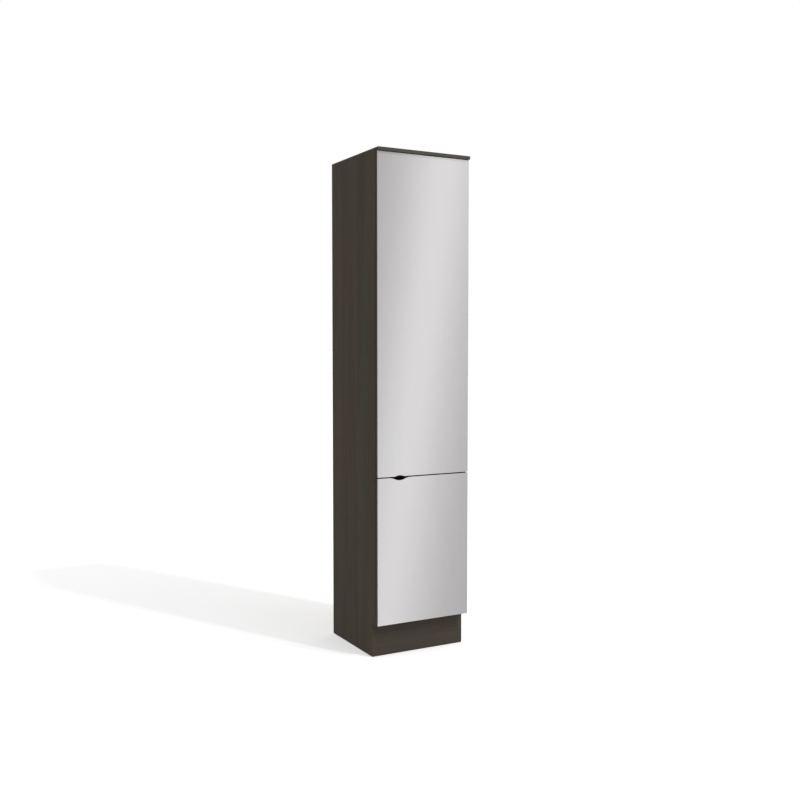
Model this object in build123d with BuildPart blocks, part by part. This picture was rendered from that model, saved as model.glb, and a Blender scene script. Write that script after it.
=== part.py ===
from build123d import *
import math
import os

os.makedirs("parts", exist_ok=True)

# A tall flat-pack kitchen cabinet: a carcass of melamine boards, a short lower door and a tall
# upper door that share one finger notch, both hung on concealed hinges on the right.
# Millimetres, +Z up, front towards -Y, origin on the floor under the middle of the overall box.

# Overall size
cabinet_width = 400.0
cabinet_height = 1920.0
carcass_depth = 383.0
base_height = 128.0
toe_recess_depth = 27.0
door_split_height = 692.7

# Boards of the carcass
board_thickness = 15.0
top_thickness = 12.0
top_overhang = 9.0
back_thickness = 3.0
back_inset = 12.0
back_groove_depth = 6.0
back_groove_clearance = 0.2
back_gap = 2.0
joiner_web = 1.0
joiner_wall = 1.0
joiner_height = 16.0
joiner_clearance = 0.1
rail_height = 80.0
strip_thickness = 0.8

# Adjustable shelves and their pins
upper_shelf_count = 3
shelf_setback = 20.0
shelf_side_clearance = 1.0
shelf_back_clearance = 3.0
pin_radius = 2.5
pin_depth = 8.0
pin_hole_depth = 9.0
pin_hole_clearance = 0.05
pin_pad_length = 8.0
pin_pad_width = 8.0
pin_pad_height = 6.0
pin_pad_corner = 2.0
pin_inset = 37.0
pin_hole_pitch = 32.0

# Doors
door_thickness = 15.0
facing_thickness = 1.0
facing_edge_radius = 0.6
band_thickness = 1.0
door_standoff = 2.0
door_side_reveal = 0.5
door_top_reveal = 1.5
door_bottom_reveal = 2.0
door_gap = 4.0
bumper_radius = 4.0
bumper_inset = 25.0

# Finger notch where the doors meet, and the room that a fingertip has behind it
notch_from_left = 95.0
lower_notch_span = 90.0
lower_notch_depth = 10.5
upper_notch_span = 52.0
upper_notch_depth = 4.5
grip_room = 20.0

# Concealed hinges, in plan: distances from the cabinet's right side and from the doors' front
hinge_end_distance = 100.0
middle_hinge_drop = 80.0
cup_edge_distance = 5.0
cup_radius = 17.4
cup_bore_clearance = 0.1
cup_depth = 11.5
cup_wall = 0.8
flange_thickness = 1.0
flange_height = 58.0
flange_width = 20.0
flange_corner_radius = 5.0
cup_screw_spacing = 45.0
cup_screw_offset = 9.5
link_pivot_from_side = 35.8
link_pivot_from_front = 7.2
link_tip_from_side = 10.0
link_tip_from_front = 7.0
link_bulge = 1.6
link_thickness = 2.0
link_height = 8.0
link_tip_radius = 1.5
link_eye_radius = 2.2
hinge_pin_radius = 1.25
hinge_pin_clearance = 0.05
cheek_thickness = 1.4
cheek_clearance = 0.2
arm_length = 46.0
arm_front_from_front = 26.0
arm_web_thickness = 1.5
arm_width = 6.5
plate_thickness = 2.0
plate_boss_height = 4.0
plate_length = 32.0
plate_post_length = 16.0
plate_height = 46.0
plate_centre_inset = 37.0
plate_screw_spacing = 32.0

# Screws
plate_screw_radius = 2.2
plate_screw_length = 12.0
plate_screw_head_radius = 3.8
cup_screw_radius = 1.7
cup_screw_length = 10.0
cup_screw_head_radius = 3.2
cup_screw_head_height = 0.8
screw_head_height = 1.6
screw_hole_clearance = 0.05
arm_screw_radius = 2.4
arm_screw_head_radius = 3.6

# Knock-down fittings of the carcass
cam_radius = 7.4
cam_depth = 12.0
cam_setback = 34.0
cam_slot_length = 8.0
cam_slot_width = 1.6
cam_slot_depth = 1.5
fitting_clearance = 0.1
bolt_thread_radius = 2.5
bolt_shaft_radius = 3.2
bolt_neck_radius = 1.8
bolt_neck_length = 5.0
bolt_head_length = 3.0
end_bore_radius = 4.0
thread_depth = 9.0
cap_radius = 8.6
cap_thickness = 0.8
cap_edge_radius = 0.4
dowel_radius = 4.0
dowel_length = 28.0
dowel_chamfer = 0.8
dowel_in_face = 8.0
cam_inset = 55.0
dowel_inset = 95.0
rail_joint_spacing = 40.0

# Wall fixing and floor glides
wall_hole_spacing = 250.0
wall_hole_radius = 3.0
glide_radius = 6.5
glide_height = 2.0
glide_nail_radius = 1.2
glide_nail_length = 14.0
glide_nail_clearance = 1.0
glide_inset = 30.0

# Places that follow from the sizes above
half_width = cabinet_width / 2
inner_half = half_width - board_thickness
overall_depth = carcass_depth + door_standoff + door_thickness + top_overhang
top_front_y = -overall_depth / 2
back_y = overall_depth / 2
door_front_y = top_front_y + top_overhang
door_back_y = door_front_y + door_thickness
carcass_front_y = door_back_y + door_standoff
board_front_y = carcass_front_y + strip_thickness
side_top_z = cabinet_height - top_thickness
back_panel_rear_y = back_y - back_inset
back_panel_front_y = back_panel_rear_y - back_thickness
panel_back_y = back_panel_front_y - back_gap
bottom_panel_top_z = base_height + board_thickness
fixed_shelf_low_z = door_split_height - board_thickness / 2
fixed_shelf_top_z = door_split_height + board_thickness / 2
door_width = cabinet_width - 2 * door_side_reveal
lower_door_low_z = base_height + door_bottom_reveal
lower_door_top_z = door_split_height - door_gap / 2
upper_door_low_z = door_split_height + door_gap / 2
upper_door_top_z = side_top_z - door_top_reveal
notch_x = notch_from_left - half_width
plinth_front_y = carcass_front_y + toe_recess_depth
rail_back_y = back_panel_front_y
rail_front_y = rail_back_y - board_thickness


def front_plane(y):
    """A plane across the cabinet at depth y: its X is the cabinet's X, its Y is up."""
    return Plane.XZ.offset(-y)


def board(x_low, x_high, y_low, y_high, z_low, z_high):
    """A plain rectangular board between six planes."""
    with BuildPart() as blank:
        with BuildSketch(Plane.XY.offset(z_low)):
            with Locations(((x_low + x_high) / 2, (y_low + y_high) / 2)):
                Rectangle(x_high - x_low, y_high - y_low)
        extrude(amount=z_high - z_low)
    return blank.part


def spread(low, high, count, thickness):
    """Heights of the undersides of evenly spaced shelves between two panels."""
    space = (high - low - count * thickness) / (count + 1)
    return [low + (n + 1) * space + n * thickness for n in range(count)]


def finish(piece, label):
    """Name a finished piece and write it out."""
    piece.label = label
    export_step(piece, f"parts/{label}.step")


upper_shelf_heights = spread(fixed_shelf_top_z, side_top_z, upper_shelf_count, board_thickness)
lower_shelf_heights = spread(bottom_panel_top_z, fixed_shelf_low_z, 1, board_thickness)
shelf_heights = lower_shelf_heights + upper_shelf_heights

# Joint frames: origin on the joint face, local X along the bolt into the joined board,
# local Z through that board from the face that shows the cam
panel_front_joint_y = board_front_y + cam_inset
panel_back_joint_y = panel_back_y - cam_inset
panel_front_dowel_y = board_front_y + dowel_inset
panel_back_dowel_y = panel_back_y - dowel_inset
base_mid_z = (glide_height + base_height) / 2
rear_base_rail_low_z = base_height - rail_height
top_rail_low_z = side_top_z - rail_height
joint_offset = rail_joint_spacing / 2


def end_frame(hand, y, z, through):
    """Joint frame at a board's end against the left (-1) or right (+1) side panel."""
    return Plane(origin=(hand * inner_half, y, z), x_dir=(-hand, 0, 0), z_dir=through).location


def top_frame(hand, y):
    """Joint frame where a side panel's upper edge meets the top board."""
    middle_x = hand * (half_width - board_thickness / 2)
    return Plane(origin=(middle_x, y, side_top_z), x_dir=(0, 0, -1), z_dir=(hand, 0, 0)).location


hands = (-1, 1)
up = (0, 0, 1)
forward = (0, -1, 0)
rearward = (0, 1, 0)


def panel_frames(z_low, near_y, far_y):
    """Joint frames at both ends of a horizontal panel, at two depths."""
    return [end_frame(h, y, z_low + board_thickness / 2, up) for h in hands for y in (near_y, far_y)]


bottom_cams = panel_frames(base_height, panel_front_joint_y, panel_back_joint_y)
bottom_dowels = panel_frames(base_height, panel_front_dowel_y, panel_back_dowel_y)
split_cams = panel_frames(fixed_shelf_low_z, panel_front_joint_y + grip_room, panel_back_joint_y)
split_dowels = panel_frames(fixed_shelf_low_z, panel_front_dowel_y + grip_room, panel_back_dowel_y)
top_cams = [top_frame(h, y) for h in hands for y in (panel_front_joint_y, panel_back_joint_y)]
top_dowels = [top_frame(h, y) for h in hands for y in (panel_front_dowel_y, panel_back_dowel_y)]
plinth_mid_y = plinth_front_y + board_thickness / 2
plinth_cams = [end_frame(h, plinth_mid_y, base_mid_z + joint_offset, forward) for h in hands]
plinth_dowels = [end_frame(h, plinth_mid_y, base_mid_z - joint_offset, forward) for h in hands]
rail_mid_y = (rail_front_y + rail_back_y) / 2
base_rail_mid_z = rear_base_rail_low_z + rail_height / 2
base_rail_cams = [end_frame(h, rail_mid_y, base_rail_mid_z + joint_offset, rearward) for h in hands]
base_rail_dowels = [end_frame(h, rail_mid_y, base_rail_mid_z - joint_offset, rearward) for h in hands]
top_rail_mid_z = top_rail_low_z + rail_height / 2
top_rail_cams = [end_frame(h, rail_mid_y, top_rail_mid_z - joint_offset, rearward) for h in hands]
top_rail_dowels = [end_frame(h, rail_mid_y, top_rail_mid_z + joint_offset, rearward) for h in hands]
side_end_cams = bottom_cams + split_cams + plinth_cams + base_rail_cams + top_rail_cams
side_end_dowels = bottom_dowels + split_dowels + plinth_dowels + base_rail_dowels + top_rail_dowels
all_cams = side_end_cams + top_cams
all_dowels = side_end_dowels + top_dowels

# Cutters for the joints, in the joint frame
with BuildPart() as cam_bores:
    with BuildSketch(Plane.YZ):
        Circle(end_bore_radius)
    extrude(amount=cam_setback)
    with BuildSketch(Plane.XY.offset(-board_thickness / 2)):
        with Locations((cam_setback, 0)):
            Circle(cam_radius + fitting_clearance)
    extrude(amount=cam_depth)

with BuildPart() as thread_bore:
    with BuildSketch(Plane.YZ):
        Circle(bolt_thread_radius + fitting_clearance)
    extrude(amount=-thread_depth - fitting_clearance)

with BuildPart() as dowel_bore:
    with BuildSketch(Plane.YZ.offset(-dowel_in_face - fitting_clearance)):
        Circle(dowel_radius + fitting_clearance)
    extrude(amount=dowel_length + 2 * fitting_clearance)

# Hinge heights and the plan position of a point near the hinge
door_hinge_ends = {
    "upper": (upper_door_low_z + hinge_end_distance, upper_door_top_z - hinge_end_distance),
    "lower": (lower_door_low_z + hinge_end_distance, lower_door_top_z - hinge_end_distance),
}
upper_middle_hinge_z = sum(door_hinge_ends["upper"]) / 2 - middle_hinge_drop
upper_hinge_heights = [door_hinge_ends["upper"][0], upper_middle_hinge_z, door_hinge_ends["upper"][1]]
lower_hinge_heights = list(door_hinge_ends["lower"])
hinge_heights = lower_hinge_heights + upper_hinge_heights


def hinge_point(from_side, from_front):
    """Plan position of a point given from the right side and from the doors' front."""
    return (half_width - from_side, door_front_y + from_front)


cup_x = half_width - door_side_reveal - cup_edge_distance - cup_radius
plate_y = carcass_front_y + plate_centre_inset
plate_screw_spots = [
    (plate_y, z + step * plate_screw_spacing / 2) for z in hinge_heights for step in (-1, 1)
]

# Side panels: full height boards with the toe recess at the lower front, a groove for the back,
# rows of shelf pin holes, and the bores of the joints
pin_rows_y = (carcass_front_y + pin_inset, panel_back_y - pin_inset)
pin_centre_heights = [z - pin_pad_height / 2 for z in shelf_heights]
pin_hole_spots = [
    (y, z + n * pin_hole_pitch) for y in pin_rows_y for z in pin_centre_heights for n in (-1, 0, 1)
]
glide_spots = [
    (hand * (half_width - board_thickness / 2), y)
    for hand in hands
    for y in (plinth_front_y + glide_inset, back_y - glide_inset)
]
for label, hand in (("left_side_panel", -1), ("right_side_panel", 1)):
    inner_x = hand * inner_half
    with BuildPart() as side_panel:
        with BuildSketch(Plane.YZ.offset(inner_x)):
            with BuildLine():
                Polyline(
                    (plinth_front_y, glide_height),
                    (back_y, glide_height),
                    (back_y, side_top_z),
                    (board_front_y, side_top_z),
                    (board_front_y, base_height),
                    (plinth_front_y, base_height),
                    close=True,
                )
            make_face()
        extrude(amount=hand * board_thickness)
        with BuildSketch(Plane.YZ.offset(inner_x)):
            with Locations((back_panel_rear_y - back_thickness / 2, (base_height + side_top_z) / 2)):
                Rectangle(back_thickness + 2 * back_groove_clearance, side_top_z - base_height)
        extrude(amount=hand * back_groove_depth, mode=Mode.SUBTRACT)
        with BuildSketch(Plane.YZ.offset(inner_x)):
            with Locations(*pin_hole_spots):
                Circle(pin_radius + pin_hole_clearance)
        extrude(amount=hand * pin_hole_depth, mode=Mode.SUBTRACT)
        with Locations(*[frame for frame in side_end_cams if frame.position.X * hand > 0]):
            add(thread_bore.part, mode=Mode.SUBTRACT)
        with Locations(*[frame for frame in side_end_dowels if frame.position.X * hand > 0]):
            add(dowel_bore.part, mode=Mode.SUBTRACT)
        with Locations(*[frame for frame in top_cams if frame.position.X * hand > 0]):
            add(cam_bores.part, mode=Mode.SUBTRACT)
        with Locations(*[frame for frame in top_dowels if frame.position.X * hand > 0]):
            add(dowel_bore.part, mode=Mode.SUBTRACT)
        with BuildSketch(Plane.XY.offset(glide_height)):
            with Locations(*[spot for spot in glide_spots if spot[0] * hand > 0]):
                Circle(glide_nail_radius + screw_hole_clearance)
        extrude(amount=glide_nail_length - glide_height, mode=Mode.SUBTRACT)
        if hand > 0:
            with BuildSketch(Plane.YZ.offset(inner_x)):
                with Locations(*plate_screw_spots):
                    Circle(plate_screw_radius + screw_hole_clearance)
            extrude(amount=plate_screw_length, mode=Mode.SUBTRACT)
    finish(side_panel.part, label)

# Top board: a cap over both sides that stands proud of the doors
with BuildPart() as top_board:
    add(board(-half_width, half_width, top_front_y + strip_thickness, back_y, side_top_z, cabinet_height))
    with Locations(*top_cams):
        add(thread_bore.part, mode=Mode.SUBTRACT)
    with Locations(*top_dowels):
        add(dowel_bore.part, mode=Mode.SUBTRACT)
finish(top_board.part, "top_board")

# Bottom panel, and the fixed shelf behind the gap between the doors, set back from the notch
for label, z_low, front_y, cams, dowels in (
    ("bottom_panel", base_height, board_front_y, bottom_cams, bottom_dowels),
    ("fixed_shelf", fixed_shelf_low_z, board_front_y + grip_room, split_cams, split_dowels),
):
    with BuildPart() as fixed_panel:
        add(board(-inner_half, inner_half, front_y, panel_back_y, z_low, z_low + board_thickness))
        with Locations(*cams):
            add(cam_bores.part, mode=Mode.SUBTRACT)
        with Locations(*dowels):
            add(dowel_bore.part, mode=Mode.SUBTRACT)
    finish(fixed_panel.part, label)

# Adjustable shelves, set back from the doors
shelf_half = inner_half - shelf_side_clearance
shelf_front_y = carcass_front_y + shelf_setback
shelf_board_front_y = shelf_front_y + strip_thickness
shelf_back_y = panel_back_y - shelf_back_clearance
shelf_labels = ["lower_shelf"] + [f"upper_shelf_{n + 1}" for n in range(upper_shelf_count)]
for label, z_low in zip(shelf_labels, shelf_heights):
    with BuildPart() as shelf:
        add(board(-shelf_half, shelf_half, shelf_board_front_y, shelf_back_y, z_low, z_low + board_thickness))
    finish(shelf.part, label)

# Plinth board in the toe recess
with BuildPart() as plinth_board:
    plinth_back_y = plinth_front_y + board_thickness
    add(board(-inner_half, inner_half, plinth_front_y, plinth_back_y, glide_height, base_height))
    with Locations(*plinth_cams):
        add(cam_bores.part, mode=Mode.SUBTRACT)
    with Locations(*plinth_dowels):
        add(dowel_bore.part, mode=Mode.SUBTRACT)
finish(plinth_board.part, "plinth_board")

# Rear rails: one under the bottom panel, one under the top with the wall fixing holes
with BuildPart() as rear_plinth_rail:
    add(board(-inner_half, inner_half, rail_front_y, rail_back_y, rear_base_rail_low_z, base_height))
    with Locations(*base_rail_cams):
        add(cam_bores.part, mode=Mode.SUBTRACT)
    with Locations(*base_rail_dowels):
        add(dowel_bore.part, mode=Mode.SUBTRACT)
finish(rear_plinth_rail.part, "rear_plinth_rail")

wall_hole_spots = [(hand * wall_hole_spacing / 2, top_rail_mid_z) for hand in hands]
with BuildPart() as rear_top_rail:
    add(board(-inner_half, inner_half, rail_front_y, rail_back_y, top_rail_low_z, side_top_z))
    with Locations(*top_rail_cams):
        add(cam_bores.part, mode=Mode.SUBTRACT)
    with Locations(*top_rail_dowels):
        add(dowel_bore.part, mode=Mode.SUBTRACT)
    with BuildSketch(front_plane(rail_back_y)):
        with Locations(*wall_hole_spots):
            Circle(wall_hole_radius)
    extrude(amount=board_thickness, mode=Mode.SUBTRACT)
finish(rear_top_rail.part, "rear_top_rail")

# Hardboard back in two sheets that slide in the grooves, with a joining strip between them
sheet_half = inner_half + back_groove_depth - back_groove_clearance
lower_sheet_top_z = door_split_height - joiner_web / 2 - joiner_clearance
upper_sheet_low_z = door_split_height + joiner_web / 2 + joiner_clearance
for label, z_low, z_high in (
    ("back_panel_lower", base_height, lower_sheet_top_z),
    ("back_panel_upper", upper_sheet_low_z, side_top_z),
):
    with BuildPart() as sheet:
        add(board(-sheet_half, sheet_half, back_panel_front_y, back_panel_rear_y, z_low, z_high))
        if z_high == side_top_z:
            with BuildSketch(front_plane(back_panel_rear_y)):
                with Locations(*wall_hole_spots):
                    Circle(wall_hole_radius)
            extrude(amount=back_thickness, mode=Mode.SUBTRACT)
    finish(sheet.part, label)

with BuildPart() as back_joiner:
    channel = back_thickness + 2 * joiner_clearance
    joiner_slot = (joiner_height - joiner_web) / 2
    joiner_slot_middle = (joiner_web + joiner_slot) / 2
    with BuildSketch(Plane.YZ.offset(-inner_half)):
        with Locations((back_panel_rear_y - back_thickness / 2, door_split_height)):
            Rectangle(channel + 2 * joiner_wall, joiner_height)
            with Locations((0, joiner_slot_middle), (0, -joiner_slot_middle)):
                Rectangle(channel, joiner_slot, mode=Mode.SUBTRACT)
    extrude(amount=2 * inner_half)
finish(back_joiner.part, "back_panel_joiner")

# Edge strips on the front edges of the boards
strip_middle_y = carcass_front_y + strip_thickness / 2
with BuildPart() as side_edge_strips:
    for hand in hands:
        with BuildSketch(Plane.XY.offset(base_height)):
            with Locations((hand * (inner_half + board_thickness / 2), strip_middle_y)):
                Rectangle(board_thickness, strip_thickness)
        extrude(amount=side_top_z - base_height)
finish(side_edge_strips.part, "side_edge_strips")

with BuildPart() as top_edge_strip:
    strip_back_y = top_front_y + strip_thickness
    add(board(-half_width, half_width, top_front_y, strip_back_y, side_top_z, cabinet_height))
finish(top_edge_strip.part, "top_edge_strip")

with BuildPart() as fixed_panel_edge_strips:
    for z_low, front_y in ((base_height, carcass_front_y), (fixed_shelf_low_z, carcass_front_y + grip_room)):
        z_high = z_low + board_thickness
        add(board(-inner_half, inner_half, front_y, front_y + strip_thickness, z_low, z_high))
finish(fixed_panel_edge_strips.part, "fixed_panel_edge_strips")

with BuildPart() as shelf_edge_strips:
    for z_low in shelf_heights:
        z_high = z_low + board_thickness
        add(board(-shelf_half, shelf_half, shelf_front_y, shelf_board_front_y, z_low, z_high))
finish(shelf_edge_strips.part, "shelf_edge_strips")

# Shelf pins: a round shank in the side panel and a flat pad under the shelf
with BuildPart() as shelf_pin:
    with BuildSketch(Plane.YZ):
        Circle(pin_radius)
    extrude(amount=-pin_depth)
    with BuildSketch(Plane.YZ):
        Rectangle(pin_pad_width, pin_pad_height)
        fillet(vertices().group_by(Axis.Y)[0], pin_pad_corner)
    extrude(amount=pin_pad_length)
pin_frames = [end_frame(h, y, z, up) for h in hands for y in pin_rows_y for z in pin_centre_heights]
with BuildPart() as shelf_pins:
    with Locations(*pin_frames):
        add(shelf_pin.part)
finish(shelf_pins.part, "shelf_pins")

# Cam lock: a disc with a bore that takes the bolt's head, and a cross slot to turn it
with BuildPart() as cam_lock:
    with BuildSketch(Plane.XY.offset(-board_thickness / 2)):
        with Locations((cam_setback, 0)):
            Circle(cam_radius)
    extrude(amount=cam_depth - fitting_clearance)
    with BuildSketch(Plane.YZ):
        Circle(end_bore_radius)
    extrude(amount=cam_setback + bolt_head_length, mode=Mode.SUBTRACT)
    with BuildSketch(Plane.XY.offset(-board_thickness / 2)):
        with Locations((cam_setback, 0)):
            Rectangle(cam_slot_length, cam_slot_width)
            Rectangle(cam_slot_width, cam_slot_length)
    extrude(amount=cam_slot_depth, mode=Mode.SUBTRACT)
with BuildPart() as cam_locks:
    with Locations(*all_cams):
        add(cam_lock.part)
finish(cam_locks.part, "cam_locks")

# Cam bolt: thread in one board, shaft through the joined board's end bore, neck and head
bolt_shaft_end = cam_setback - cam_radius - fitting_clearance
bolt_neck_end = bolt_shaft_end + bolt_neck_length
with BuildPart() as cam_bolt:
    with BuildSketch(Plane.YZ.offset(-thread_depth)):
        Circle(bolt_thread_radius)
    extrude(amount=thread_depth)
    with BuildSketch(Plane.YZ):
        Circle(bolt_shaft_radius)
    extrude(amount=bolt_shaft_end)
    with BuildSketch(Plane.YZ.offset(bolt_shaft_end)):
        Circle(bolt_neck_radius)
    extrude(amount=bolt_neck_length)
    with BuildSketch(Plane.YZ.offset(bolt_neck_end)):
        Circle(bolt_shaft_radius)
    extrude(amount=bolt_head_length)
with BuildPart() as cam_bolts:
    with Locations(*all_cams):
        add(cam_bolt.part)
finish(cam_bolts.part, "cam_bolts")

# Cover caps pressed over the cam locks
with BuildPart() as cam_cap:
    with BuildSketch(Plane.XY.offset(-board_thickness / 2)):
        with Locations((cam_setback, 0)):
            Circle(cap_radius)
    extrude(amount=-cap_thickness)
    fillet(cam_cap.faces().sort_by(Axis.Z)[0].edges(), cap_edge_radius)
with BuildPart() as cam_caps:
    with Locations(*all_cams):
        add(cam_cap.part)
finish(cam_caps.part, "cam_caps")

# Wooden dowels beside the bolts
with BuildPart() as dowel:
    with BuildSketch(Plane.YZ.offset(-dowel_in_face)):
        Circle(dowel_radius)
    extrude(amount=dowel_length)
    chamfer(dowel.edges().filter_by(GeomType.CIRCLE), dowel_chamfer)
with BuildPart() as dowels:
    with Locations(*all_dowels):
        add(dowel.part)
finish(dowels.part, "dowels")

# Floor glides nailed under the side panels
with BuildPart() as floor_glides:
    with BuildSketch(Plane.XY):
        with Locations(*glide_spots):
            Circle(glide_radius)
    extrude(amount=glide_height)
    with BuildSketch(Plane.XY.offset(glide_height)):
        with Locations(*glide_spots):
            Circle(glide_nail_radius)
    extrude(amount=glide_nail_length - glide_height - glide_nail_clearance)
finish(floor_glides.part, "floor_glides")


def notch_arcs(middle_x, edge_z, span, depth):
    """Three tangent arcs of one radius: a bell-shaped dip of the given span and signed depth.
    The radius is (half span squared + depth squared) / (4 x depth)."""
    half = span / 2
    radius = (half**2 + depth**2) / (4 * abs(depth))
    turn = math.asin(half / (2 * radius))
    rise = math.copysign(radius, depth) * (1 - math.cos(turn))
    inner_rise = math.copysign(radius, depth) * (1 - math.cos(turn / 2))
    run = radius * math.sin(turn)
    inner_run = radius * math.sin(turn / 2)
    points = [
        (middle_x - half, edge_z),
        (middle_x - half + inner_run, edge_z + inner_rise),
        (middle_x - half + run, edge_z + rise),
        (middle_x, edge_z + depth),
        (middle_x + half - run, edge_z + rise),
        (middle_x + half - inner_run, edge_z + inner_rise),
        (middle_x + half, edge_z),
    ]
    ThreePointArc(points[0], points[1], points[2])
    ThreePointArc(points[2], points[3], points[4])
    ThreePointArc(points[4], points[5], points[6])


def door_outline(plane, z_low, z_high, notch_edge, span, depth):
    """Face of a door seen from the front, with the finger notch in its upper or lower edge."""
    half = door_width / 2
    notch_z = z_high if notch_edge == "top" else z_low
    plain_z = z_low if notch_edge == "top" else z_high
    signed_depth = -depth if notch_edge == "top" else depth
    with BuildSketch(plane) as outline:
        with BuildLine():
            notch_arcs(notch_x, notch_z, span, signed_depth)
            Line((notch_x + span / 2, notch_z), (half, notch_z))
            Line((half, notch_z), (half, plain_z))
            Line((half, plain_z), (-half, plain_z))
            Line((-half, plain_z), (-half, notch_z))
            Line((-half, notch_z), (notch_x - span / 2, notch_z))
        make_face()
    return outline.sketch


# Cup of a concealed hinge, with its flange and screw holes, at height zero
with BuildPart() as hinge_cup:
    with BuildSketch(front_plane(door_back_y)):
        with Locations((cup_x, 0)):
            Circle(cup_radius)
    extrude(amount=cup_depth)
    with BuildSketch(front_plane(door_back_y)):
        with Locations((cup_x, 0)):
            Circle(cup_radius + flange_thickness)
        with Locations((cup_x - cup_screw_offset, 0)):
            RectangleRounded(flange_width, flange_height, flange_corner_radius)
    extrude(amount=-flange_thickness)
    with BuildSketch(front_plane(door_back_y + flange_thickness)):
        with Locations((cup_x, 0)):
            Circle(cup_radius - cup_wall)
    extrude(amount=flange_thickness + cup_depth - cup_wall, mode=Mode.SUBTRACT)
    cup_screw_spots = [(cup_x - cup_screw_offset, hand * cup_screw_spacing / 2) for hand in hands]
    with BuildSketch(front_plane(door_back_y + flange_thickness)):
        with Locations(*cup_screw_spots):
            Circle(cup_screw_radius + screw_hole_clearance)
    extrude(amount=flange_thickness, mode=Mode.SUBTRACT)

# Screws that hold the cup's flange to the door
with BuildPart() as cup_screw_pair:
    with BuildSketch(front_plane(door_back_y + flange_thickness)):
        with Locations(*cup_screw_spots):
            Circle(cup_screw_radius)
    extrude(amount=flange_thickness + cup_screw_length)
    with BuildSketch(front_plane(door_back_y + flange_thickness)):
        with Locations(*cup_screw_spots):
            Circle(cup_screw_head_radius)
    extrude(amount=-cup_screw_head_height)

# Hinge link: a bowed strip with an eye on the arm's pin and a rounded tip inside the cup
link_eye = hinge_point(link_pivot_from_side, link_pivot_from_front)
link_tip = hinge_point(link_tip_from_side, link_tip_from_front)
link_middle = ((link_eye[0] + link_tip[0]) / 2, (link_eye[1] + link_tip[1]) / 2 - link_bulge)
with BuildPart() as hinge_link:
    with BuildSketch(Plane.XY.offset(-link_height / 2)):
        with BuildLine() as link_path:
            ThreePointArc(link_eye, link_middle, link_tip)
        trace(line_width=link_thickness)
        with Locations(link_eye):
            Circle(link_eye_radius)
        with Locations(link_tip):
            Circle(link_tip_radius)
        with Locations(link_eye):
            Circle(hinge_pin_radius + hinge_pin_clearance, mode=Mode.SUBTRACT)
    extrude(amount=link_height)

# Hinge arm: two cheeks that carry the pin, joined by a web over the mounting plate
arm_back_from_front = arm_front_from_front + arm_length
arm_seat_from_side = board_thickness + plate_thickness + plate_boss_height
arm_top_from_side = arm_seat_from_side + arm_width
cheek_outline = [
    hinge_point(link_pivot_from_side - link_eye_radius, link_pivot_from_front),
    hinge_point(link_pivot_from_side - link_eye_radius, arm_front_from_front - arm_width),
    hinge_point(arm_seat_from_side, arm_front_from_front),
    hinge_point(arm_seat_from_side, arm_back_from_front),
    hinge_point(arm_top_from_side, arm_back_from_front),
    hinge_point(arm_top_from_side, arm_front_from_front),
    hinge_point(link_pivot_from_side + link_eye_radius, arm_front_from_front - arm_width),
    hinge_point(link_pivot_from_side + link_eye_radius, link_pivot_from_front),
]
cheek_low = link_height / 2 + cheek_clearance
web_middle = hinge_point(arm_top_from_side - arm_web_thickness / 2, arm_front_from_front + arm_length / 2)
with BuildPart() as hinge_arm:
    for z_low in (cheek_low, -cheek_low - cheek_thickness):
        with BuildSketch(Plane.XY.offset(z_low)):
            with BuildLine():
                Polyline(*cheek_outline, close=True)
            make_face()
            with Locations(link_eye):
                Circle(link_eye_radius)
            with Locations(link_eye):
                Circle(hinge_pin_radius + hinge_pin_clearance, mode=Mode.SUBTRACT)
        extrude(amount=cheek_thickness)
    with BuildSketch(Plane.XY.offset(-cheek_low)):
        with Locations(web_middle):
            Rectangle(arm_web_thickness, arm_length)
    extrude(amount=2 * cheek_low)
    with BuildSketch(Plane.YZ.offset(half_width - arm_top_from_side)):
        with Locations((plate_y, 0)):
            Circle(arm_screw_radius + screw_hole_clearance)
    extrude(amount=arm_web_thickness, mode=Mode.SUBTRACT)

# Pin through the cheeks and the link's eye
with BuildPart() as hinge_pin:
    with BuildSketch(Plane.XY.offset(-cheek_low - cheek_thickness)):
        with Locations(link_eye):
            Circle(hinge_pin_radius)
    extrude(amount=2 * (cheek_low + cheek_thickness))

# Mounting plate on the side panel: a flat wing with a raised boss under the arm
plate_low_x = inner_half - plate_thickness
with BuildPart() as mounting_plate:
    with BuildSketch(Plane.YZ.offset(inner_half)):
        with Locations((plate_y, 0)):
            RectangleRounded(plate_length, plate_height, flange_corner_radius)
    extrude(amount=-plate_thickness)
    with BuildSketch(Plane.YZ.offset(plate_low_x)):
        with Locations((plate_y, 0)):
            Rectangle(plate_length, 2 * (cheek_low + cheek_thickness))
    extrude(amount=-plate_boss_height)
    with BuildSketch(Plane.YZ.offset(plate_low_x - plate_boss_height)):
        with Locations((plate_y, 0)):
            Rectangle(plate_post_length, link_height)
    extrude(amount=-(arm_width - arm_web_thickness))
    with BuildSketch(Plane.YZ.offset(half_width - arm_top_from_side)):
        with Locations((plate_y, 0)):
            Circle(arm_screw_radius + screw_hole_clearance)
    extrude(amount=arm_width + plate_boss_height, mode=Mode.SUBTRACT)
    with BuildSketch(Plane.YZ.offset(plate_low_x)):
        with Locations((plate_y, plate_screw_spacing / 2), (plate_y, -plate_screw_spacing / 2)):
            Circle(plate_screw_radius + screw_hole_clearance)
    extrude(amount=plate_thickness, mode=Mode.SUBTRACT)

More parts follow.
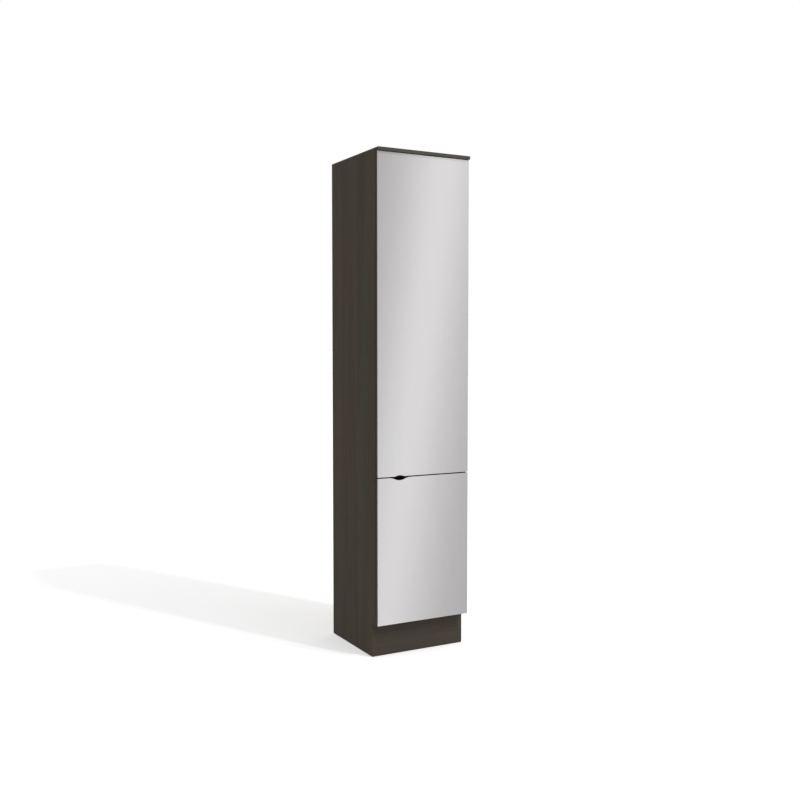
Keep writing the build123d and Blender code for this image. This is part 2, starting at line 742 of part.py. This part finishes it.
# Screws of the mounting plate, and the screw that holds the arm on the plate
with BuildPart() as plate_screw_pair:
    for z in (plate_screw_spacing / 2, -plate_screw_spacing / 2):
        with BuildSketch(Plane.YZ.offset(plate_low_x)):
            with Locations((plate_y, z)):
                Circle(plate_screw_radius)
        extrude(amount=plate_thickness + plate_screw_length - screw_hole_clearance)
        with BuildSketch(Plane.YZ.offset(plate_low_x)):
            with Locations((plate_y, z)):
                Circle(plate_screw_head_radius)
        extrude(amount=-screw_head_height)

arm_screw_length = arm_width + plate_boss_height - screw_hole_clearance
with BuildPart() as arm_screw:
    with BuildSketch(Plane.YZ.offset(half_width - arm_top_from_side)):
        with Locations((plate_y, 0)):
            Circle(arm_screw_radius)
    extrude(amount=arm_screw_length)
    with BuildSketch(Plane.YZ.offset(half_width - arm_top_from_side)):
        with Locations((plate_y, 0)):
            Circle(arm_screw_head_radius)
    extrude(amount=-screw_head_height)


def at_heights(piece, heights, label):
    """Copies of one hinge piece at the given heights, as separate solids of one node."""
    with BuildPart() as group:
        with Locations(*[(0, 0, z) for z in heights]):
            add(piece)
    finish(group.part, label)


at_heights(hinge_arm.part, hinge_heights, "hinge_arms")
at_heights(hinge_pin.part, hinge_heights, "hinge_pins")
at_heights(mounting_plate.part, hinge_heights, "hinge_mounting_plates")
at_heights(plate_screw_pair.part, hinge_heights, "hinge_plate_screws")
at_heights(arm_screw.part, hinge_heights, "hinge_arm_screws")
at_heights(hinge_link.part, upper_hinge_heights, "upper_hinge_links")
at_heights(hinge_link.part, lower_hinge_heights, "lower_hinge_links")


def make_door(name, z_low, z_high, notch_edge, span, depth, heights):
    """One door: board with cup bores, edge band, glossy facing, cups, screws and bumpers."""
    core_front_y = door_front_y + facing_thickness
    core_depth = door_thickness - facing_thickness
    outline = door_outline(front_plane(core_front_y), z_low, z_high, notch_edge, span, depth)
    with BuildSketch(front_plane(core_front_y)) as core_outline:
        add(outline)
        offset(amount=-band_thickness, mode=Mode.REPLACE)
    with BuildPart() as door_board:
        extrude(core_outline.sketch, amount=-core_depth)
        with BuildSketch(front_plane(door_back_y)):
            with Locations(*[(cup_x, z) for z in heights]):
                Circle(cup_radius + cup_bore_clearance)
        extrude(amount=cup_depth + cup_bore_clearance, mode=Mode.SUBTRACT)
        with BuildSketch(front_plane(door_back_y)):
            with Locations(*[(x, z + rise) for x, rise in cup_screw_spots for z in heights]):
                Circle(cup_screw_radius + screw_hole_clearance)
        extrude(amount=cup_screw_length + screw_hole_clearance, mode=Mode.SUBTRACT)
    finish(door_board.part, f"{name}_door_board")
    with BuildPart() as door_band:
        extrude(outline, amount=-core_depth)
        extrude(core_outline.sketch, amount=-core_depth, mode=Mode.SUBTRACT)
    finish(door_band.part, f"{name}_door_edge_band")
    with BuildPart() as door_facing:
        extrude(outline, amount=facing_thickness)
        fillet(door_facing.faces().sort_by(Axis.Y)[0].edges(), facing_edge_radius)
    finish(door_facing.part, f"{name}_door_facing")
    at_heights(hinge_cup.part, heights, f"{name}_hinge_cups")
    at_heights(cup_screw_pair.part, heights, f"{name}_cup_screws")
    bumper_x = board_thickness / 2 - half_width
    with BuildPart() as bumpers:
        with BuildSketch(front_plane(door_back_y)):
            with Locations((bumper_x, z_low + bumper_inset), (bumper_x, z_high - bumper_inset)):
                Circle(bumper_radius)
        extrude(amount=-door_standoff)
    finish(bumpers.part, f"{name}_door_bumpers")


make_door(
    "lower",
    lower_door_low_z,
    lower_door_top_z,
    "top",
    lower_notch_span,
    lower_notch_depth,
    lower_hinge_heights,
)
make_door(
    "upper",
    upper_door_low_z,
    upper_door_top_z,
    "bottom",
    upper_notch_span,
    upper_notch_depth,
    upper_hinge_heights,
)
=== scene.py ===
from math import cos, pi, radians, sin

import bpy
from mathutils import Matrix, Vector

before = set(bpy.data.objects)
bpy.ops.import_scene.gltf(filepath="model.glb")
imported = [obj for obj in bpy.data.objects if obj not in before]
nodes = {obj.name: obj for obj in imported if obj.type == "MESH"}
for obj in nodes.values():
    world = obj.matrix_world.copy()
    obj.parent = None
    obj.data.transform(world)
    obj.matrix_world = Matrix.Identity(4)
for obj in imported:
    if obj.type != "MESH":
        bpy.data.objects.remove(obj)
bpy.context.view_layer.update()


# Side panels.
# Chipboard 15 mm thick, faced on both sides with dark oak-print melamine, the grain upright.
# The front edge is banded, the rear edge is left raw because it stands against the wall.


def linear(colour):
    """A hex sRGB colour as linear RGBA.

    A channel c gives c / 12.92 up to 0.04045, and ((c + 0.055) / 1.055) ** 2.4 above it.
    """
    channels = [int(colour[n : n + 2], 16) / 255 for n in (1, 3, 5)]
    return [c / 12.92 if c <= 0.04045 else ((c + 0.055) / 1.055) ** 2.4 for c in channels] + [1]


def cells(millimetres):
    """The texture scale at which one cell of a pattern is this wide."""
    return 1000 / millimetres


def node(tree, kind, sockets=None, **settings):
    """Adds a node, gives it its settings, and fills its inputs with values or links.

    Only sockets that the settings leave in use are filled by name or linked on: a Mix node, for
    one, holds a Factor, A and B for numbers and others for colours. A node given as a value
    stands for its first output.
    """
    added = tree.nodes.new(kind)
    for name, value in settings.items():
        setattr(added, name, value)
    for key, value in (sockets or {}).items():
        in_use = [socket for socket in added.inputs if socket.enabled and socket.name == key]
        target = in_use[0] if in_use else added.inputs[key]
        if isinstance(value, bpy.types.Node):
            value = next(socket for socket in value.outputs if socket.enabled)
        if isinstance(value, bpy.types.NodeSocket):
            tree.links.new(value, target)
        else:
            target.default_value = value
    return added


def new_material(name):
    """A material with an empty node tree."""
    material = bpy.data.materials.new(name)
    material.use_nodes = True
    material.node_tree.nodes.clear()
    return material, material.node_tree


def finish_surface(tree, sockets):
    """Ends a material in one Principled shader with these inputs."""
    shader = node(tree, "ShaderNodeBsdfPrincipled", sockets)
    node(tree, "ShaderNodeOutputMaterial", {"Surface": shader})


def facing(tree, place, axis):
    """1 where the surface looks within 45 degrees of the axis, in the object's own space."""
    cosine_of_45_degrees = 0.7
    along = node(
        tree,
        "ShaderNodeVectorMath",
        {0: place.outputs["Normal"], 1: axis},
        operation="DOT_PRODUCT",
    )
    return node(
        tree, "ShaderNodeMath", {0: along, 1: cosine_of_45_degrees}, operation="GREATER_THAN"
    )


# Raw chipboard: flakes pressed flat, about 4 mm long and 1.5 mm thick, straw to brown, matt.
# It shows on cut edges and inside the bores, under whatever film covers the faces.
def chipboard(tree, place, face):
    """Colour of cut chipboard: flattened cells, each of its own shade, a little resin between."""
    straw, pale_straw = linear("#98794F"), linear("#BFA074")
    dust_brown, resin_brown = linear("#8A6E4A"), linear("#6E5538")
    flattening = 2.6
    pressed = [flattening if axis == face else 1.0 for axis in "xyz"]
    flake_space = node(
        tree, "ShaderNodeMapping", {"Vector": place.outputs["Object"], "Scale": pressed}
    )
    flakes = node(tree, "ShaderNodeTexVoronoi", {"Vector": flake_space, "Scale": cells(3.85)})
    shade = node(tree, "ShaderNodeSeparateColor", {0: flakes.outputs["Color"]})
    wood = node(
        tree, "ShaderNodeMix", {"Factor": shade, "A": straw, "B": pale_straw}, data_type="RGBA"
    )
    dust = node(
        tree, "ShaderNodeTexNoise", {"Vector": flake_space, "Scale": cells(1.11), "Detail": 2.0}
    )
    most_dust, most_resin = 0.5, 0.5
    dustiness = node(tree, "ShaderNodeMath", {0: dust, 1: most_dust}, operation="MULTIPLY")
    wood = node(
        tree, "ShaderNodeMix", {"Factor": dustiness, "A": wood, "B": dust_brown}, data_type="RGBA"
    )
    resin = node(
        tree,
        "ShaderNodeMapRange",
        {
            "Value": flakes.outputs["Distance"],
            "From Min": 0.6,
            "From Max": 1.0,
            "To Max": most_resin,
        },
    )
    return node(
        tree, "ShaderNodeMix", {"Factor": resin, "A": wood, "B": resin_brown}, data_type="RGBA"
    )


# Melamine-faced board: an oak print under a satin overlay, pressed with open pores.
# Olive and brown drift into each other over about 70 mm, under growth bands 38 mm wide and
# streaks of 4 mm. Real pores are 0.3 mm wide; they are drawn 1.2 mm wide so that they show.
# Where a board shows its narrow front edge, the film on it is painted darker, as painted shade
# against the lamps in front.
def woodgrain_melamine(name, grain, face, film_colours):
    """The print runs along the grain axis, and the film lies on the two sides of the face axis."""
    olive, brown, dark, pore = [linear(colour) for colour in film_colours]
    material, tree = new_material(name)
    place = node(tree, "ShaderNodeTexCoord")
    drawn_out = 0.035
    stretch = [drawn_out if axis == grain else 1.0 for axis in "xyz"]
    print_space = node(
        tree, "ShaderNodeMapping", {"Vector": place.outputs["Object"], "Scale": stretch}
    )
    # The four patterns by their width in millimetres, detail and waviness.
    bands, hue, streaks, dashes = [
        node(
            tree,
            "ShaderNodeTexNoise",
            {
                "Vector": print_space,
                "Scale": cells(width),
                "Detail": detail,
                "Distortion": waviness,
            },
        )
        for width, detail, waviness in (
            (38.46, 3.0, 0.4),
            (71.43, 1.0, 0.0),
            (4.0, 2.0, 0.0),
            (1.22, 1.0, 0.0),
        )
    ]
    pores = node(tree, "ShaderNodeMapRange", {"Value": dashes, "From Min": 0.62, "From Max": 0.7})
    brownness = node(
        tree, "ShaderNodeMapRange", {"Value": hue, "From Min": 0.35, "From Max": 0.65}
    )
    wide_light, narrow_light = [
        node(
            tree,
            "ShaderNodeMapRange",
            {"Value": pattern, "From Min": 0.3, "From Max": 0.7, "To Max": share},
        )
        for pattern, share in ((bands, 0.55), (streaks, 0.45))
    ]
    lightness = node(tree, "ShaderNodeMath", {0: wide_light, 1: narrow_light}, operation="ADD")
    film = node(
        tree, "ShaderNodeMix", {"Factor": brownness, "A": olive, "B": brown}, data_type="RGBA"
    )
    film = node(
        tree, "ShaderNodeMix", {"Factor": lightness, "A": dark, "B": film}, data_type="RGBA"
    )
    pore_depth, painted_front_shade_share = 0.6, 0.25
    pored = node(tree, "ShaderNodeMath", {0: pores, 1: pore_depth}, operation="MULTIPLY")
    film = node(tree, "ShaderNodeMix", {"Factor": pored, "A": film, "B": pore}, data_type="RGBA")
    front = facing(tree, place, (0, -1, 0))
    # Painted shade: faces looking to the front are drawn a quarter of the way toward the pore
    # colour.
    if face != "y":
        painted_front_shade = node(tree, "ShaderNodeMath", {0: front, 1: painted_front_shade_share}, operation="MULTIPLY")
        film = node(
            tree, "ShaderNodeMix", {"Factor": painted_front_shade, "A": film, "B": pore}, data_type="RGBA"
        )
    covered = front
    filmed_sides = {
        "x": [(1, 0, 0), (-1, 0, 0)],
        "y": [(0, 1, 0)],
        "z": [(0, 0, 1), (0, 0, -1), (1, 0, 0), (-1, 0, 0)],
    }
    for side in filmed_sides[face]:
        covered = node(
            tree,
            "ShaderNodeMath",
            {0: covered, 1: facing(tree, place, side)},
            operation="MAXIMUM",
        )
    raw = chipboard(tree, place, face)
    colour = node(
        tree, "ShaderNodeMix", {"Factor": covered, "A": raw, "B": film}, data_type="RGBA"
    )
    film_roughness = node(
        tree, "ShaderNodeMapRange", {"Value": lightness, "To Min": 0.66, "To Max": 0.6}
    )
    raw_roughness = 0.9
    roughness = node(
        tree,
        "ShaderNodeMix",
        {"Factor": covered, "A": raw_roughness, "B": film_roughness},
        data_type="FLOAT",
    )
    height = node(tree, "ShaderNodeMath", {0: 1.0, 1: pores}, operation="SUBTRACT")
    relief = node(tree, "ShaderNodeBump", {"Strength": 0.35, "Distance": 0.0003, "Height": height})
    finish_surface(
        tree,
        {
            "Base Color": colour,
            "Roughness": roughness,
            "Specular IOR Level": 0.08,
            "Normal": relief,
        },
    )
    return material


def finish_nodes(material, *names):
    """Gives the material to the CAD nodes of these names."""
    for name in names:
        mesh = nodes[name].data
        mesh.materials.clear()
        mesh.materials.append(material)


# Olive, brown, dark and pore colour of the film.
board_film = ("#4C4837", "#50443A", "#3E382E", "#2A251E")
upright_board = woodgrain_melamine("oak_print_melamine_upright", "z", "x", board_film)
finish_nodes(upright_board, "left_side_panel", "right_side_panel")

# Bottom panel, fixed shelf and loose shelves.
# The same board, cut with its grain along the width. Loose shelves lie on four pins each.
level_board = woodgrain_melamine("oak_print_melamine_level", "x", "z", board_film)
shelf_names = sorted(name for name in nodes if name.startswith("upper_shelf_")) + ["lower_shelf"]
finish_nodes(level_board, "bottom_panel", "fixed_shelf", *shelf_names)

# Top board.
# A thinner board that caps both sides and stands proud of the doors. A strip closes its front,
# and the film goes round its two ends.
finish_nodes(level_board, "top_board")

# Plinth board and rear rails.
# Narrow boards on edge between the sides, grain along the width, held by cams and dowels.
# Their film is the sides' print painted darker and greyer: painted shade, which keeps the
# front-lit plinth as dark as the shaded sides.
# Painted shade: the same oak print as the sides, drawn darker and greyer.
rail_film_with_painted_shade = ("#403C33", "#423B34", "#342F29", "#24201B")
rail_board = woodgrain_melamine("oak_print_melamine_rail_painted_shade", "x", "y", rail_film_with_painted_shade)
finish_nodes(rail_board, "plinth_board", "rear_plinth_rail", "rear_top_rail")


# Edge strips.
# ABS strip 0.8 mm thick, printed like the boards and glued along their front edges.
# It is a little smoother and more even than the pressed film beside it.
def edge_strip(name, stretch, dark, light):
    """stretch shrinks the print space along the strip, so that its streaks run with it."""
    material, tree = new_material(name)
    place = node(tree, "ShaderNodeTexCoord")
    print_space = node(
        tree, "ShaderNodeMapping", {"Vector": place.outputs["Object"], "Scale": stretch}
    )
    streaks = node(
        tree, "ShaderNodeTexNoise", {"Vector": print_space, "Scale": cells(5.56), "Detail": 3.0}
    )
    lightness = node(
        tree, "ShaderNodeMapRange", {"Value": streaks, "From Min": 0.3, "From Max": 0.7}
    )
    colour = node(
        tree,
        "ShaderNodeMix",
        {"Factor": lightness, "A": linear(dark), "B": linear(light)},
        data_type="RGBA",
    )
    relief = node(tree, "ShaderNodeBump", {"Strength": 0.2, "Distance": 0.0002, "Height": streaks})
    finish_surface(
        tree,
        {
            "Base Color": colour,
            "Roughness": 0.5,
            "Specular IOR Level": 0.12,
            "Normal": relief,
        },
    )
    return material


upright_strip = edge_strip(
    "abs_edge_strip_upright", stretch=(1, 1, 0.03), dark="#39332E", light="#48403C"
)
finish_nodes(upright_strip, "side_edge_strips")
level_strip = edge_strip(
    "abs_edge_strip_level", stretch=(0.03, 1, 1), dark="#3B3732", light="#494440"
)
finish_nodes(level_strip, "top_edge_strip", "fixed_panel_edge_strips", "shelf_edge_strips")

# Door edge bands.
# ABS band 1 mm thick around each door, plain dark brown, glued on before the glossy front is
# laid over it.
door_band = edge_strip(
    "abs_door_band", stretch=(0.3, 1, 0.3), dark="#2C2824", light="#37322C"
)
finish_nodes(door_band, "lower_door_edge_band", "upper_door_edge_band")


# Back sheets.
# Wet-process hardboard 3 mm thick: a lacquered brown face inside, and a raw rear face that
# keeps the square mesh of the screen it was pressed on. A cell of it is 1.6 mm, and is drawn
# 5.9 mm so that it shows.
hardboard, tree = new_material("screen_back_hardboard")
place = node(tree, "ShaderNodeTexCoord")
fibres = node(
    tree,
    "ShaderNodeTexNoise",
    {"Vector": place.outputs["Object"], "Scale": cells(2.38), "Detail": 4.0},
)
clouds = node(
    tree,
    "ShaderNodeTexNoise",
    {"Vector": place.outputs["Object"], "Scale": cells(143), "Detail": 2.0},
)
cloudiness = node(tree, "ShaderNodeMapRange", {"Value": clouds, "From Min": 0.3, "From Max": 0.7})
# A wave texture of scale s repeats every pi / (10 s).
screen_pitch = 0.005928
screen_across, screen_up = [
    node(
        tree,
        "ShaderNodeTexWave",
        {"Vector": place.outputs["Object"], "Scale": pi / 10 / screen_pitch},
        bands_direction=direction,
        wave_profile="SIN",
    ).outputs["Fac"]
    for direction in "XZ"
]
mesh_marks = node(tree, "ShaderNodeMath", {0: screen_across, 1: screen_up}, operation="MULTIPLY")
raw_brown = node(
    tree,
    "ShaderNodeMix",
    {"Factor": cloudiness, "A": linear("#805F40"), "B": linear("#8A6847")},
    data_type="RGBA",
)
for pattern, share, tint in ((mesh_marks, 0.35, "#5A4029"), (fibres, 0.3, "#A58560")):
    tinting = node(tree, "ShaderNodeMath", {0: pattern, 1: share}, operation="MULTIPLY")
    raw_brown = node(
        tree,
        "ShaderNodeMix",
        {"Factor": tinting, "A": raw_brown, "B": linear(tint)},
        data_type="RGBA",
    )
lacquered = node(
    tree,
    "ShaderNodeMix",
    {"Factor": cloudiness, "A": linear("#4A4238"), "B": linear("#554C41")},
    data_type="RGBA",
)
rear = facing(tree, place, (0, 1, 0))
colour = node(
    tree, "ShaderNodeMix", {"Factor": rear, "A": lacquered, "B": raw_brown}, data_type="RGBA"
)
lacquer_roughness, raw_roughness = 0.45, 0.85
roughness = node(
    tree,
    "ShaderNodeMix",
    {"Factor": rear, "A": lacquer_roughness, "B": raw_roughness},
    data_type="FLOAT",
)
rear_mesh = node(tree, "ShaderNodeMath", {0: mesh_marks, 1: rear}, operation="MULTIPLY")
relief = node(tree, "ShaderNodeBump", {"Strength": 0.5, "Distance": 0.0004, "Height": rear_mesh})
finish_surface(tree, {"Base Color": colour, "Roughness": roughness, "Normal": relief})
finish_nodes(hardboard, "back_panel_lower", "back_panel_upper")


# Joining strip and cover caps.
# Extruded and moulded polystyrene in a brown close to the boards. The texture eroded into such
# a mould is 0.1 mm coarse; it is drawn 1 to 2 mm so that it shows.
def moulded_plastic(name, colour, roughness, texture_width, clearness=0.0):
    """A moulded plastic: one colour, with painted shade a fifth darker in the hollows of its
    texture.
    """
    material, tree = new_material(name)
    place = node(tree, "ShaderNodeTexCoord")
    texture = node(
        tree,
        "ShaderNodeTexNoise",
        {"Vector": place.outputs["Object"], "Scale": cells(texture_width), "Detail": 3.0},
    )
    # Painted shade: the hollows of the texture are drawn a fifth darker.
    painted_shade_in_hollows = 0.8
    raised = linear(colour)
    hollow_with_painted_shade = [part * painted_shade_in_hollows for part in raised[:3]] + [1]
    shades = node(
        tree, "ShaderNodeMix", {"Factor": texture, "A": hollow_with_painted_shade, "B": raised}, data_type="RGBA"
    )
    relief = node(tree, "ShaderNodeBump", {"Strength": 0.2, "Distance": 0.0002, "Height": texture})
    finish_surface(
        tree,
        {
            "Base Color": shades,
            "Roughness": roughness,
            "IOR": 1.5,
            "Transmission Weight": clearness,
            "Normal": relief,
        },
    )
    return material


polystyrene = moulded_plastic(
    "brown_polystyrene", "#4B4034", roughness=0.45, texture_width=1.11
)
finish_nodes(polystyrene, "back_panel_joiner", "cam_caps")

# Floor glides.
# Black polyethylene discs with a nail, knocked into the lower edges of the sides.
polyethylene = moulded_plastic(
    "black_polyethylene", "#1B1B1C", roughness=0.5, texture_width=1.43
)
finish_nodes(polyethylene, "floor_glides")

# Door bumpers.
# Clear polyurethane dots stuck to the door backs, slightly cloudy.
polyurethane = moulded_plastic(
    "clear_polyurethane", "#D9DCDA", roughness=0.3, texture_width=2.0, clearness=0.6
)
finish_nodes(polyurethane, "lower_door_bumpers", "upper_door_bumpers")


# Metal fittings.
# Cams are die-cast zinc, bolts, screws and pins zinc-plated steel, hinges nickel-plated steel.
# Plating follows the drawn or cast surface under it, which shows as soft blotches in the gloss.
def plated_metal(name, colour, rough_low, rough_high, blotch_width):
    """Metal of one colour whose roughness drifts between two values over blotches."""
    material, tree = new_material(name)
    place = node(tree, "ShaderNodeTexCoord")
    blotches = node(
        tree,
        "ShaderNodeTexNoise",
        {"Vector": place.outputs["Object"], "Scale": cells(blotch_width), "Detail": 4.0},
    )
    brightness = node(
        tree, "ShaderNodeMapRange", {"Value": blotches, "From Min": 0.35, "From Max": 0.65}
    )
    dulling = 0.82
    bright = linear(colour)
    dull = [part * dulling for part in bright[:3]] + [1]
    shades = node(
        tree, "ShaderNodeMix", {"Factor": brightness, "A": dull, "B": bright}, data_type="RGBA"
    )
    roughness = node(
        tree,
        "ShaderNodeMapRange",
        {"Value": blotches, "To Min": rough_low, "To Max": rough_high},
    )
    relief = node(
        tree, "ShaderNodeBump", {"Strength": 0.1, "Distance": 0.0001, "Height": blotches}
    )
    finish_surface(
        tree,
        {"Base Color": shades, "Metallic": 1.0, "Roughness": roughness, "Normal": relief},
    )
    return material


cast_zinc = plated_metal(
    "die_cast_zinc", "#A3A4A6", rough_low=0.35, rough_high=0.6, blotch_width=2.5
)
finish_nodes(cast_zinc, "cam_locks")
zinc_plate = plated_metal(
    "zinc_plated_steel", "#B4B6B8", rough_low=0.25, rough_high=0.4, blotch_width=1.67
)
finish_nodes(
    zinc_plate,
    "shelf_pins",
    "cam_bolts",
    "hinge_plate_screws",
    "hinge_arm_screws",
    "lower_cup_screws",
    "upper_cup_screws",
)
nickel_plate = plated_metal(
    "nickel_plated_steel", "#C2BDB3", rough_low=0.26, rough_high=0.42, blotch_width=6.67
)
finish_nodes(
    nickel_plate,
    "hinge_arms",
    "hinge_pins",
    "hinge_mounting_plates",
    "lower_hinge_cups",
    "upper_hinge_cups",
    "lower_hinge_links",
    "upper_hinge_links",
)

# Dowels.
# Turned beech, pale and close-grained, glued into the boards so that only joints show them.
beech, tree = new_material("turned_beech")
place = node(tree, "ShaderNodeTexCoord")
flecks = node(
    tree,
    "ShaderNodeTexNoise",
    {"Vector": place.outputs["Object"], "Scale": cells(1.11), "Detail": 2.0},
)
paleness = node(tree, "ShaderNodeMapRange", {"Value": flecks, "From Min": 0.35, "From Max": 0.65})
colour = node(
    tree,
    "ShaderNodeMix",
    {"Factor": paleness, "A": linear("#B98A5C"), "B": linear("#D3A97C")},
    data_type="RGBA",
)
finish_surface(tree, {"Base Color": colour, "Roughness": 0.65})
finish_nodes(beech, "dowels")

# Door boards.
# Chipboard backed with the same oak print as the sides, its grain upright, under a satin
# overlay. The cup bores show the raw chips.
door_back = woodgrain_melamine("oak_print_melamine_door_back", "z", "y", board_film)
finish_nodes(door_back, "lower_door_board", "upper_door_board")

# Door facings.
# A 1 mm sheet of light grey satin-gloss acrylic laid over the whole front of each door.
# Its gloss spreads the lamp into a wide soft ridge; rolling leaves a faint upright drift.
gloss_sheet, tree = new_material("satin_gloss_acrylic")
place = node(tree, "ShaderNodeTexCoord")
rolled = node(
    tree, "ShaderNodeMapping", {"Vector": place.outputs["Object"], "Scale": (1, 1, 0.15)}
)
drift = node(tree, "ShaderNodeTexNoise", {"Vector": rolled, "Scale": cells(55.6), "Detail": 2.0})
peel = node(
    tree,
    "ShaderNodeTexNoise",
    {"Vector": place.outputs["Object"], "Scale": cells(3.33), "Detail": 1.0},
)
paleness = node(tree, "ShaderNodeMapRange", {"Value": drift, "From Min": 0.3, "From Max": 0.7})
colour = node(
    tree,
    "ShaderNodeMix",
    {"Factor": paleness, "A": linear("#898686"), "B": linear("#8B8989")},
    data_type="RGBA",
)
roughness = node(tree, "ShaderNodeMapRange", {"Value": drift, "To Min": 0.255, "To Max": 0.27})
relief = node(tree, "ShaderNodeBump", {"Strength": 0.05, "Distance": 0.0001, "Height": peel})
finish_surface(
    tree,
    {
        "Base Color": colour,
        "Roughness": roughness,
        "Coat Weight": 1.0,
        "Coat Roughness": 0.262,
        "Normal": relief,
    },
)
finish_nodes(gloss_sheet, "lower_door_facing", "upper_door_facing")


# Floor.
# A plain white studio floor. To the camera, and in gloss, a share of its own light lifts it to
# white, so that it keeps the cabinet's shadow while its real bounce stays that of white paint.
def seen(tree):
    """1 for what the camera sees, straight or by way of gloss and glass, 0 for falling light."""
    path = node(tree, "ShaderNodeLightPath")
    result = path.outputs["Is Camera Ray"]
    for other in ("Is Glossy Ray", "Is Transmission Ray"):
        result = node(
            tree, "ShaderNodeMath", {0: result, 1: path.outputs[other]}, operation="MAXIMUM"
        )
    return result


reach = 30.0
corners = [(-reach, -reach, 0), (reach, -reach, 0), (reach, reach, 0), (-reach, reach, 0)]
floor_mesh = bpy.data.meshes.new("studio_floor")
floor_mesh.from_pydata(corners, [], [(0, 1, 2, 3)])
floor = bpy.data.objects.new("studio_floor", floor_mesh)
bpy.context.scene.collection.objects.link(floor)
white, white_paint = linear("#FFFFFF"), linear("#E7E7E7")
lift_to_white = 0.415
floor_paint, tree = new_material("white_floor_paint")
bounce = node(tree, "ShaderNodeBsdfDiffuse", {"Color": white_paint})
shadow_paint = node(tree, "ShaderNodeBsdfDiffuse", {"Color": white})
own_light = node(tree, "ShaderNodeEmission", {"Color": white, "Strength": lift_to_white})
lifted = node(tree, "ShaderNodeAddShader", {0: shadow_paint, 1: own_light})
shown = node(tree, "ShaderNodeMixShader", {0: seen(tree), 1: bounce, 2: lifted})
node(tree, "ShaderNodeOutputMaterial", {"Surface": shown})
floor_paint.cycles.emission_sampling = "NONE"
floor_mesh.materials.append(floor_paint)
floor.visible_shadow = False
floor.visible_glossy = False

# Studio light.
# The room is a plain pale dome. Three distant lamps stand in front and to the right, from 38 to
# 51 degrees up. The highest lights the cabinet alone, and the lower two draw its shadow on the
# floor as well. A tall narrow softbox beside them draws the ridge of light down the doors.
world = bpy.data.worlds.new("white_studio")
bpy.context.scene.world = world
world.use_nodes = True
tree = world.node_tree
tree.nodes.clear()
dome = node(tree, "ShaderNodeBackground", {"Color": white, "Strength": 0.485})
backdrop = node(tree, "ShaderNodeBackground", {"Color": white, "Strength": 1.0})
room = node(tree, "ShaderNodeMixShader", {0: seen(tree), 1: dome, 2: backdrop})
node(tree, "ShaderNodeOutputWorld", {"Surface": room})


def lamp(name, kind, place, target=(0, 0, 0), long_axis=(0, 0, 1), **settings):
    """A lamp at a place, aimed at a target, its own Y as near the long axis as that allows."""
    light = bpy.data.lights.new(name, kind)
    for key, value in settings.items():
        setattr(light, key, value)
    stand = bpy.data.objects.new(name, light)
    bpy.context.scene.collection.objects.link(stand)
    back = (Vector(place) - Vector(target)).normalized()
    side = Vector(long_axis).cross(back).normalized()
    turn = Matrix((side, back.cross(side), back)).transposed()
    stand.matrix_world = Matrix.Translation(place) @ turn.to_4x4()
    stand.visible_camera = False
    return stand


def front_right(degrees_up):
    """A point 4 m in front of the cabinet, this high and 27.5 degrees to the right."""
    distance = 4.0
    up, across = radians(degrees_up), radians(27.5)
    return (
        distance * cos(up) * sin(across),
        -distance * cos(up) * cos(across),
        distance * sin(up),
    )


small_disc, wide_disc = radians(2.5), radians(40)
key_sun = lamp("key_sun", "SUN", front_right(51), energy=0.58, angle=small_disc)
lamp("low_sun", "SUN", front_right(43), energy=0.43, angle=small_disc)
lamp("wide_sun", "SUN", front_right(38), energy=0.4, angle=wide_disc)
beyond_key = bpy.data.collections.new("not_lit_by_key_sun")
beyond_key.objects.link(floor)
beyond_key.collection_objects[0].light_linking.link_state = "EXCLUDE"
key_sun.light_linking.receiver_collection = beyond_key

lean = radians(8.58)
lamp(
    "ridge_softbox",
    "AREA",
    place=(1.186, -2.371, 0.953),
    target=(0, -0.2, 1.0),
    long_axis=(sin(lean), 0, cos(lean)),
    energy=42.5,
    shape="RECTANGLE",
    size=0.12,
    size_y=4.8,
)

# Camera.
# Placed and aimed by fitting the cabinet's corners to the photograph. Its focal length is in the
# photograph's pixels. It looks a little down, and to the right.
photo_width = 800
focal_length = 971.65
degrees_down, degrees_rolled, degrees_right = 3.097, -0.007, 28.494
camera = bpy.data.cameras.new("camera")
camera.sensor_width = 36.0
camera.lens = focal_length / photo_width * camera.sensor_width
camera.clip_end = 200.0
view = bpy.data.objects.new("camera", camera)
bpy.context.scene.collection.objects.link(view)
view.location = (-1.85082, -3.41364, 1.1828)
view.rotation_euler = (
    radians(90 - degrees_down),
    radians(degrees_rolled),
    radians(-degrees_right),
)
bpy.context.scene.camera = view
bpy.context.scene.view_settings.view_transform = "Standard"
